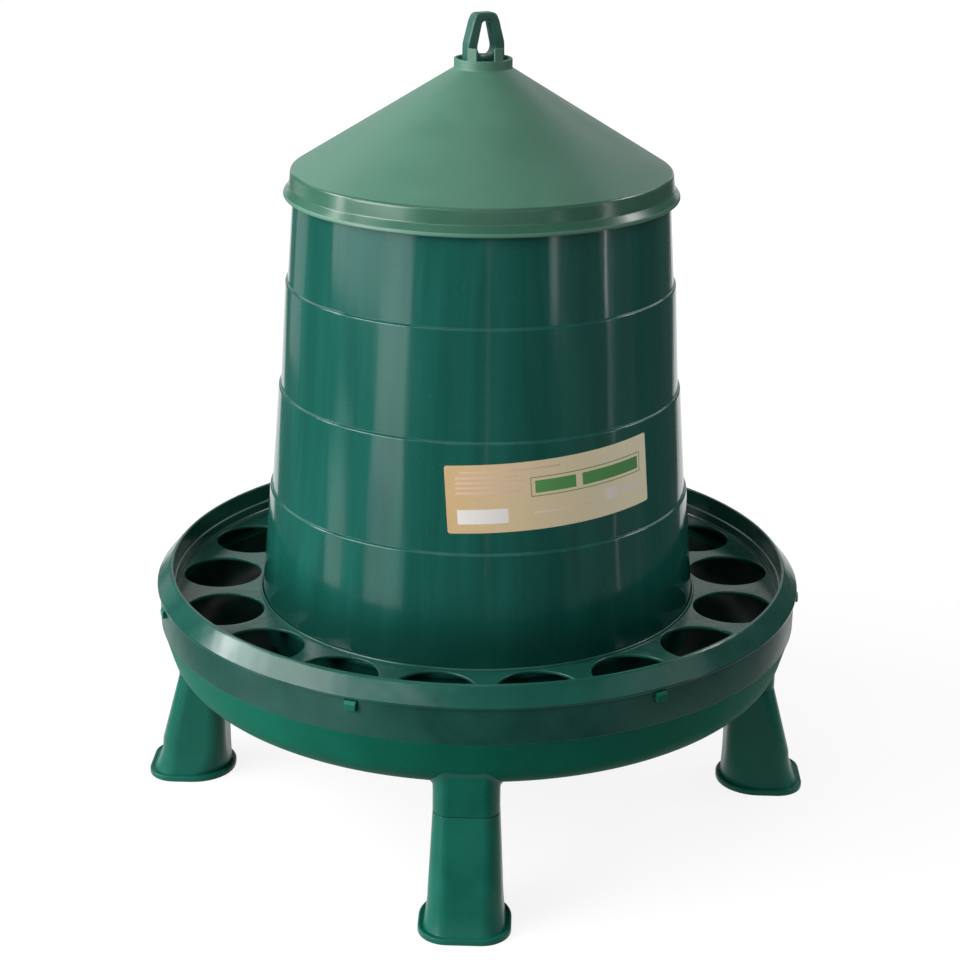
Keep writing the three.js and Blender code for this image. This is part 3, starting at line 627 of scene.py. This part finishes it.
def buildGrid():
    bm = bmesh.new()
    for turn in turnsOf(grid["holes"], grid["firstHole"]):
        holeSector(bm, turn)
    beadTop = plateTop + grid["beadRise"]
    turned(bm, rounded([
        (plateInner, plateUnder, 0.3), (beadOuter, plateUnder, 0), (beadOuter, plateTop - 0.2, 0),
        (beadOuter - grid["beadRise"] / 2, beadTop, 0.6), (plateInner, beadTop, 0.6)]))
    ledgeZ = plateTop + grid["ledgeRise"]
    fold = rimInner + grid["skirtWall"]
    bandTop = ringHigh - grid["rimHalf"]
    bandR = skirtR + overhang
    crown = crownR + grid["rimHalf"]
    slope = (bandTop - bandEdge) / (bandR - crown)
    skirtInner = skirtR - grid["skirtWall"]
    hookTop = bandEdge - tray["hookDrop"]
    openTop = hookTop + grid["snapGap"]
    openLow = hookTop - tray["hookHeight"] - grid["snapGap"]
    profile = rounded([
        (plateOuter, plateUnder, 0), (fold, plateUnder, 0.5),
        (fold, bandEdge + (skirtInner - fold) * slope, 0.8), (skirtInner, bandEdge, 0),
        (skirtInner, openTop, 0), (skirtInner, openLow, 0), (skirtInner, ringLow, 0.3),
        (skirtR, ringLow, 0.5), (skirtR, openLow, 0), (skirtR, openTop, 0), (skirtR, bandEdge, 0.2),
        (bandR, bandEdge, 0.5), (bandR, bandEdge + grid["bandLip"], 0.5), (crown, bandTop + 0.3, 1.0),
        (crownR + grid["rimHalf"] * 0.2, ringHigh, 0.9), (rimInner, ringHigh, 1.0),
        (rimInner, ledgeZ + grid["ledge"] / 2, 0.4), (rimInner - grid["ledge"], ledgeZ, 0.5),
        (rimInner - grid["ledge"], plateTop + grid["ledge"], 0.5), (plateOuter, plateTop, 0)])
    outerRow, innerRow = rowNear(profile, skirtR, openLow), rowNear(profile, skirtInner, openTop)
    halfTurn = (tray["hookWidth"] / 2 + grid["snapGap"]) / skirtR
    turned(bm, profile, [(turn % fullTurn, halfTurn, outerRow, innerRow)
                         for turn in turnsOf(tray["hooks"], tray["firstHook"])])
    markFaces(bm, lambda radius, z: radius > skirtR - 0.6 and z < bandEdge - 0.2)  # the skirt
    makePiece("gridRing", bm, "feeder", "bottle_green_plastic", "grid_ring",
              bottleGreenRippled, bottleGreenDull)


buildGrid()
print("grid ring built")

# Hopper: stepped tube with a neck under the lid and a flange under the plate

hopper = {
    "wall": 2.4, "footSpread": 6.2, "lowerSpread": 6.9, "upperSpread": 5.4, "step": 1.5, "stepFall": 0.8,
    "lowestRise": 71.6, "section": 67.6, "topSection": 55, "neckInset": 1.8, "flangeThick": 2.6,
    "windowRise": 3, "windowHeight": 4.8,
}
hangerThick = 8.4  # the hanger's thickness and turn also place the neck's two windows
hangerTurn = math.radians(31.5)
lowerR = hopperFootR - hopper["footSpread"]
middleR = lowerR - hopper["lowerSpread"]
upperR = middleR - hopper["upperSpread"]
topR = upperR - hopper["upperSpread"]
neckR = topR - hopper["neckInset"]
lowerZ = plateTop + hopper["lowestRise"]
middleZ = lowerZ + hopper["section"]
upperZ = middleZ + hopper["section"]
neckZ = upperZ + hopper["topSection"]
windowZ = neckZ + hopper["windowRise"]


def buildHopper():
    wall, fall, step = hopper["wall"], hopper["stepFall"], hopper["step"]
    flangeR, flangeTop = hopperFootR + flangeReach, plateUnder - seat
    flangeLow, footTop = flangeTop - hopper["flangeThick"], plateTop + grid["beadRise"]
    windowTop = windowZ + hopper["windowHeight"]
    steps = ((neckZ, neckR, topR), (upperZ, upperR - step, upperR), (middleZ, middleR - step, middleR),
             (lowerZ, lowerR - step, lowerR))
    outside = [c for z, above, below in steps for c in ((above, z + fall, 0.2), (below, z, 1.1))]
    inside = [c for z, above, below in steps
              for c in ((above - wall, z + fall - wall / 2, 0.5), (below - wall, z - wall / 2, 0.4))]
    profile = rounded(
        [(neckR - wall, windowZ, 0), (neckR - wall, windowTop, 0), (neckR - wall, hopperHigh, 0.8),
         (neckR, hopperHigh, 0.8), (neckR, windowTop, 0), (neckR, windowZ, 0)] + outside
        + [(hopperFootR, footTop, 3), (hopperFootR, flangeTop, 0.3), (flangeR, flangeTop, 0.3),
           (flangeR, flangeLow, 0.5), (hopperFootR, flangeLow, 0.3), (hopperFootR, hopperLow, 0.6),
           (hopperFootR - wall, hopperLow, 0.6), (hopperFootR - wall, footTop, 2)] + inside[::-1])
    outerRow, innerRow = rowNear(profile, neckR, windowTop), rowNear(profile, neckR - wall, windowZ)
    halfTurn = (hangerThick / 2 + grid["snapGap"]) / neckR
    bm = bmesh.new()
    turned(bm, profile, [(turn % fullTurn, halfTurn, outerRow, innerRow)
                         for turn in (hangerTurn, hangerTurn + math.pi)])
    makePiece("hopperTube", bm, "feeder", "bottle_green_plastic", "hopper", bottleGreenGloss)


buildHopper()

# Hanger: flat moulding clipped into the neck, with the loop that stands out of the lid

hanger = {
    "hubHalf": 12.9, "armDepth": 9, "armEndHeight": 12, "armEndLength": 9, "armPlay": 0.6, "coverGap": 4,
    "hubDepth": 14, "tabInset": 0.2, "waistDrop": 6, "waistRise": 2, "loopRise": 27.2,
    "shoulderInset": 0.2, "crownInset": 3.9, "crownDrop": 5, "topInset": 6.2,
    "bar": 5.3, "eyeHeight": 21, "eyeDrop": 5, "eyeTopInset": 4.8,
}
coneSlope = math.tan(math.radians(31.6))
loopTop = levels("hanger")[1]
collarTop = loopTop - hanger["loopRise"]


def lidUnder(radius):  # height of the underside of the lid's cone
    return hopperHigh + seat + (neckR - radius) * coneSlope


def buildHanger():
    hub, cover = hanger["hubHalf"], hanger["coverGap"]
    tabLow, tabHigh = windowZ + seat, windowZ + hopper["windowHeight"] - seat
    tabEnd = neckR - hanger["tabInset"]
    armEnd = neckR - hopper["wall"] - hanger["armPlay"]
    armFoot = armEnd - hanger["armEndLength"]
    endLow = tabLow - (hanger["armEndHeight"] - hopper["windowHeight"]) / 2
    endHigh = endLow + hanger["armEndHeight"]
    half = [
        (hub, lidUnder(hub) - cover - hanger["hubDepth"], 6), (armFoot, endHigh - hanger["armDepth"], 4),
        (armFoot, endLow, 1), (armEnd, endLow, 1), (armEnd, tabLow, 0.3), (tabEnd, tabLow, 0.5),
        (tabEnd, tabHigh, 0.5), (armEnd, tabHigh, 0.3), (armEnd, endHigh, 1),
        (armFoot, lidUnder(armFoot) - cover, 0), (hub + cover, lidUnder(hub + cover) - cover, 2),
        (hub, collarTop - hanger["waistDrop"], 3), (hub, collarTop + hanger["waistRise"], 4),
        (hub - hanger["shoulderInset"], collarTop + hanger["loopRise"] / 3, 6),
        (hub - hanger["crownInset"], loopTop - hanger["crownDrop"], 9),
        (hub - hanger["topInset"], loopTop, 5)]
    outline = rounded(half + [(-x, z, r) for x, z, r in reversed(half)])
    eyeHalf = hub - hanger["bar"]
    eyeTop = loopTop - hanger["eyeDrop"]
    eyeLow = eyeTop - hanger["eyeHeight"]
    topHalf = eyeHalf - hanger["eyeTopInset"]
    eye = rounded([(-eyeHalf, eyeLow, 5.5), (-topHalf, eyeTop, 2.2),
                   (topHalf, eyeTop, 2.2), (eyeHalf, eyeLow, 5.5)])
    bm = bmesh.new()
    plated(bm, outline, hangerThick, hangerTurn, 1.1, eye)
    makePiece("hangerFrame", bm, "feeder", "bottle_green_plastic", "hanger", bottleGreenSatin,
              sharpAngle=40)


buildHanger()
print("hopper and hanger built")

# Lid: cone shell with a short wall, a flared lip and a collar with tongues

lid = {
    "wall": 2.4, "play": 0.6, "wallHeight": 9, "draft": 1, "lipReach": 4.7, "lipFall": 4.4, "lipThick": 2.4,
    "collarWall": 2, "collarPlay": 2.4, "tongues": 4, "tongueTurn": -83.5, "tongueSpread": 28,
    "tongueWidth": 6.2, "tongueHeight": 7.6, "tongueRoot": 3, "tongueInset": 0.35,
}
lidR = neckR + lid["play"] + lid["wall"]
collarR = math.hypot(hanger["hubHalf"], hangerThick / 2) + lid["collarPlay"] + lid["collarWall"]


def buildLid():
    wall, lipR = lid["wall"], lidR + lid["lipReach"]
    shell = wall / math.cos(math.atan(coneSlope))
    top = lidUnder(lidR) + shell
    foot = top - lid["wallHeight"]
    lipTop = foot - lid["lipFall"]
    low = lipTop - lid["lipThick"]
    inner = collarR - lid["collarWall"]
    bm = bmesh.new()
    turned(bm, rounded([
        (collarR, lidUnder(collarR) + shell, 1.2), (lidR, top, 2.8), (lidR + lid["draft"], foot, 2),
        (lipR - 0.4, lipTop, 2), (lipR, low + 0.2, 1.0), (lipR - lid["lipThick"], low, 0.7),
        (lipR - lid["lipThick"] - 0.3, lipTop - 0.6, 1.5), (lidR - wall, foot - wall / 3, 2),
        (lidR - wall, lidUnder(lidR - wall), 1.5), (inner, lidUnder(inner), 0.8),
        (inner, collarTop, 0.6), (collarR, collarTop, 0.7)]))
    # painted shade: the short wall takes the darker copy of the lid's green
    markFaces(bm, lambda radius, z: radius > lidR - 1.5 and z > foot - 2.5)  # the short wall
    makePiece("lidShell", bm, "lid", "sage_green_plastic", "lid", sageGreenSatin, sageGreenGlossPaintedShade)
    bm = bmesh.new()
    near, far = inner + lid["tongueInset"], collarR - lid["tongueInset"]
    root, tip = collarTop - lid["tongueRoot"], collarTop + lid["tongueHeight"]
    tongue = rounded([(near, root, 0), (far, root, 0), (far, tip, 0.5), (near, tip, 0.5)])
    for i in range(lid["tongues"]):
        side = 1 if i % 2 else -1
        turn = math.radians(lid["tongueTurn"] + side * lid["tongueSpread"] + (180 if i > 1 else 0))
        plated(bm, tongue, lid["tongueWidth"], turn, 0.4)
    makePiece("lidTongues", bm, "lid", "sage_green_plastic", None, sageGreenSatin)


buildLid()
print("lid built")

# Sticker on the hopper: kraft paper printed with plain bars, lines and boxes

sticker = {
    "topLeft": (-97.6, 266.8), "lowLeft": (-96.2, 225.5), "lowRight": (-36.9, 230.2),
    "topRight": (-37.4, 273.4), "thick": 0.12, "cornerRadius": 1.6, "cornerSteps": 6,
    "columns": 60, "rows": 12,  # each corner is its turn round the hopper in degrees, and its height
    # painted light: the pale colour the paper turns towards its right end, which the lamps light less
    "deep": "#c6a375", "pale": "#d4b485", "paintedLight": "#fff4d2", "paintedLightLength": 118,
    "fibreSize": 1.5, "toothDepth": 0.015,
    "prints": (  # left, bottom, right, top, ink, width of the line or 0 where it is filled
        (51, 19.9, 130, 31.6, "#4c8a4c", 0.45), (53.7, 22, 80, 29.4, "#5a9c57", 0),
        (84.5, 22, 128, 29.4, "#5a9c57", 0), (100.5, 9, 109.5, 16.6, "#fff2ea", 0),
        (112, 11.4, 127, 14.4, "#fff0e2", 0), (9, 36.3, 70, 37.5, "#dfc1a4", 0),
        (6, 32.9, 44, 34.1, "#e0bfa8", 0), (6, 29.9, 47, 31.1, "#e0bfa8", 0),
        (6, 26.9, 40, 28.1, "#e0bfa8", 0), (6, 23.9, 45, 25.1, "#e0bfa8", 0),
        (6.3, 5.6, 36.5, 14.4, "#ece8e4", 0), (52, 9.6, 90, 10.8, "#f3dcc4", 0)),
}


def buildSticker():
    (tlA, tlZ), (blA, blZ) = sticker["topLeft"], sticker["lowLeft"]
    (brA, brZ), (trA, trZ) = sticker["lowRight"], sticker["topRight"]

    def radiusAt(z):  # the tube's outside between its two lower steps
        spread = lowerR - hopper["step"] - middleR
        return middleR + (middleZ - z) * spread / (hopper["section"] - hopper["stepFall"])

    width = math.radians((brA + trA - tlA - blA) / 2) * radiusAt((tlZ + blZ) / 2)
    height = tlZ - blZ
    corner, across, up = sticker["cornerRadius"], sticker["columns"], sticker["rows"]
    bends = [corner * (1 - math.cos(math.pi / 2 * k / sticker["cornerSteps"]))
             for k in range(sticker["cornerSteps"] + 1)]
    evens = [corner + (width - 2 * corner) * k / across for k in range(across + 1)]
    bm = bmesh.new()
    sheet = bm.loops.layers.uv.new("sheet")
    columns = []
    for u in sorted(set(bends + [width - bend for bend in bends] + evens)):
        edge = min(u, width - u)
        cut = corner - math.sqrt(max(corner ** 2 - (corner - edge) ** 2, 0)) if edge < corner else 0
        column = []
        for k in range(up + 1):
            v = cut + (height - 2 * cut) * k / up
            s, t = u / width, v / height
            angle = math.radians((blA + (brA - blA) * s) * (1 - t) + (tlA + (trA - tlA) * s) * t)
            z = (blZ + (brZ - blZ) * s) * (1 - t) + (tlZ + (trZ - tlZ) * s) * t
            r = radiusAt(z) + sticker["thick"]
            column.append((bm.verts.new((r * math.cos(angle), r * math.sin(angle), z)), (u, v)))
        columns.append(column)
    for left, right in zip(columns, columns[1:]):
        for k in range(up):
            around = (left[k], right[k], right[k + 1], left[k + 1])
            face = bm.faces.new([vert for vert, _ in around])
            for loop, (_, place) in zip(face.loops, around):
                loop[sheet].uv = place
    makePiece("kraftSticker", bm, "feeder", "bottle_green_plastic", None,
              kraftPaperPrinted("kraftPaperPrinted", sticker))


buildSticker()
print("sticker built")

# Stage, in metres: a pale floor, soft studio lamps and the photograph's viewpoint

stage = {
    "paperFront": -0.28, "paperBack": 4.8, "paperHalfFront": 0.305, "paperHalfBack": 1.53,
    "paperDeep": "#767676", "paperPale": "#7a7a7a", "room": "#4d4e4e",
    "fadeFrom": 0.4, "fadeTo": 2.5, "glowNear": 0.86, "glowFar": 0.98,
    "sensor": 36, "lens": 79.435, "distance": 1.30157, "height": 0.68255,
    "pitch": 19.886, "heading": 1.455, "roll": 0.677, "side": 1.5,
}
middleHeight = 0.28
lamps = (
    # name, turn from the camera's side (positive to the right), distance, height, width, tall, watts, aim
    ("keyWindow", -60, 2.0, 0.85, 1.3, 0.75, 35, middleHeight),
    ("windowTop", -70, 2.0, 1.7, 1.2, 0.8, 14, middleHeight),
    ("doorLight", -88, 2.0, 0.9, 0.2, 1.3, 7.5, 0.9),
    ("doorTop", -99, 2.0, 1.35, 0.36, 0.7, 13, 1.35),
    ("sillLeft", -132, 2.0, 0.05, 0.7, 0.5, 0.5, 0.05),
    ("skyBackLeft", -143, 2.5, 2.1, 1.6, 1.2, 8, middleHeight),
    ("skyBackRight", 143, 2.5, 2.1, 1.6, 1.2, 8, middleHeight),
    ("ceilingLeft", -31, 2.0, 1.95, 1.2, 0.7, 7, middleHeight),
    ("ceilingRight", 70, 2.0, 1.65, 1.6, 0.7, 1.8, middleHeight),
    ("paneOuter", -80, 2.0, -0.54, 0.4, 0.76, 1.3, -0.54),
    ("paneInner", -49, 2.0, 0.08, 0.66, 0.44, 2.2, 0.08),
    ("paneLow", -49, 2.0, -0.52, 0.66, 0.76, 2, -0.52),
    ("paneUpper", -77, 2.0, 0.18, 1.3, 0.26, 2, 0.18),
    ("stripRight", 77, 2.0, -0.4, 0.08, 0.9, 0.25, -0.4),
    ("stripTall", 76, 2.0, 0.75, 0.07, 1.4, 2.6, 0.75),
    ("stripNear", 43, 2.0, 0.26, 0.16, 0.36, 0.5, 0.26),
    ("stripFront", 5, 2.0, 0.1, 0.06, 0.6, 0.1, 0.1),
    ("softRight", 72, 2.2, 0.3, 2.2, 1.6, 1.2, 0.3),
    ("bulbRight", 108, 1.6, 1.5, 0.45, 0.45, 7, middleHeight),
    ("fillFront", 8, 2.4, 1.15, 2.6, 1.4, 9.5, middleHeight),
    ("overhead", -30, 0.3, 2.4, 1.2, 1.2, 5, middleHeight),
    ("backWall", 180, 3.2, 0.95, 3.6, 1.5, 12, middleHeight),
)
scene = bpy.context.scene


def buildFloor():
    # mid grey paper that glows white to the camera and in what mirrors it, and keeps the object's shadow
    material, tree = newMaterial("paleFloorPaper")
    path = addNode(tree, "ShaderNodeLightPath")
    place = addNode(tree, "ShaderNodeTexCoord")
    mottle = addNode(tree, "ShaderNodeTexNoise", {"Scale": 3, "Detail": 2},
                     {"Vector": place.outputs["Object"]})
    paper = addNode(tree, "ShaderNodeMix", {"data_type": "RGBA", 6: toLinear(stage["paperDeep"]),
                    7: toLinear(stage["paperPale"])}, {0: mottle.outputs["Fac"]})
    surface = addNode(tree, "ShaderNodeBsdfDiffuse", None, {"Color": paper.outputs[2]})
    seen = path.outputs["Is Camera Ray"]
    for ray in ("Is Glossy Ray", "Is Transmission Ray"):
        seen = addNode(tree, "ShaderNodeMath", {"operation": "MAXIMUM"},
                       {0: seen, 1: path.outputs[ray]}).outputs[0]
    away = addNode(tree, "ShaderNodeVectorMath", {"operation": "LENGTH"}, {0: place.outputs["Object"]})
    fade = addNode(tree, "ShaderNodeMapRange", {
        "From Min": stage["fadeFrom"], "From Max": stage["fadeTo"], "To Min": stage["glowNear"],
        "To Max": stage["glowFar"]}, {"Value": away.outputs["Value"]})
    lift = addNode(tree, "ShaderNodeMath", {"operation": "MULTIPLY"}, {0: seen, 1: fade.outputs["Result"]})
    glow = addNode(tree, "ShaderNodeEmission", {"Color": (1, 1, 1, 1)}, {"Strength": lift.outputs[0]})
    both = addNode(tree, "ShaderNodeAddShader", None, {0: surface.outputs[0], 1: glow.outputs[0]})
    addNode(tree, "ShaderNodeOutputMaterial", None, {"Surface": both.outputs[0]})
    bm = bmesh.new()
    corners = [(side * half, y, 0) for y, half, sides in (
        (stage["paperFront"], stage["paperHalfFront"], (-1, 1)),
        (stage["paperBack"], stage["paperHalfBack"], (1, -1))) for side in sides]
    bm.faces.new([bm.verts.new(c) for c in corners])
    mesh = bpy.data.meshes.new("floor")
    bm.to_mesh(mesh)
    bm.free()
    floor = bpy.data.objects.new("floor", mesh)
    scene.collection.objects.link(floor)
    mesh.materials.append(material)


def buildWorld():
    # a dim room lights the plastic and is mirrored in it, and the camera sees white beyond the floor
    world = bpy.data.worlds.new("studio")
    scene.world = world
    world.use_nodes = True
    tree = world.node_tree
    tree.nodes.clear()
    path = addNode(tree, "ShaderNodeLightPath")
    room = addNode(tree, "ShaderNodeBackground", {"Color": toLinear(stage["room"]), "Strength": 1})
    white = addNode(tree, "ShaderNodeBackground", {"Color": (1, 1, 1, 1), "Strength": 1})
    shown = addNode(tree, "ShaderNodeMixShader", None, {
        0: path.outputs["Is Camera Ray"], 1: room.outputs[0], 2: white.outputs[0]})
    addNode(tree, "ShaderNodeOutputWorld", None, {"Surface": shown.outputs[0]})


def addLamp(name, turn, distance, height, width, tall, power, aim):
    angle = math.radians(-90 + stage["side"] + turn)
    data = bpy.data.lights.new(name, "AREA")
    data.shape = "RECTANGLE"
    data.size, data.size_y, data.energy = width, tall, power
    lamp = bpy.data.objects.new(name, data)
    scene.collection.objects.link(lamp)
    lamp.location = (distance * math.cos(angle), distance * math.sin(angle), height)
    lamp.rotation_euler = (Vector((0, 0, aim)) - lamp.location).to_track_quat("-Z", "Y").to_euler()


def buildCamera():
    data = bpy.data.cameras.new("camera")
    data.sensor_width, data.lens = stage["sensor"], stage["lens"]
    camera = bpy.data.objects.new("camera", data)
    scene.collection.objects.link(camera)
    side, heading, pitch, roll = (
        math.radians(stage[name]) for name in ("side", "heading", "pitch", "roll"))
    place = Matrix.Translation((
        stage["distance"] * math.sin(side), -stage["distance"] * math.cos(side), stage["height"]))
    camera.matrix_world = (place @ Matrix.Rotation(heading, 4, "Z")
                           @ Matrix.Rotation(math.pi / 2 - pitch, 4, "X") @ Matrix.Rotation(roll, 4, "Z"))
    scene.camera = camera


buildFloor()
buildWorld()
for lamp in lamps:
    addLamp(*lamp)
buildCamera()
scene.view_settings.view_transform = "Standard"
print("stage set")
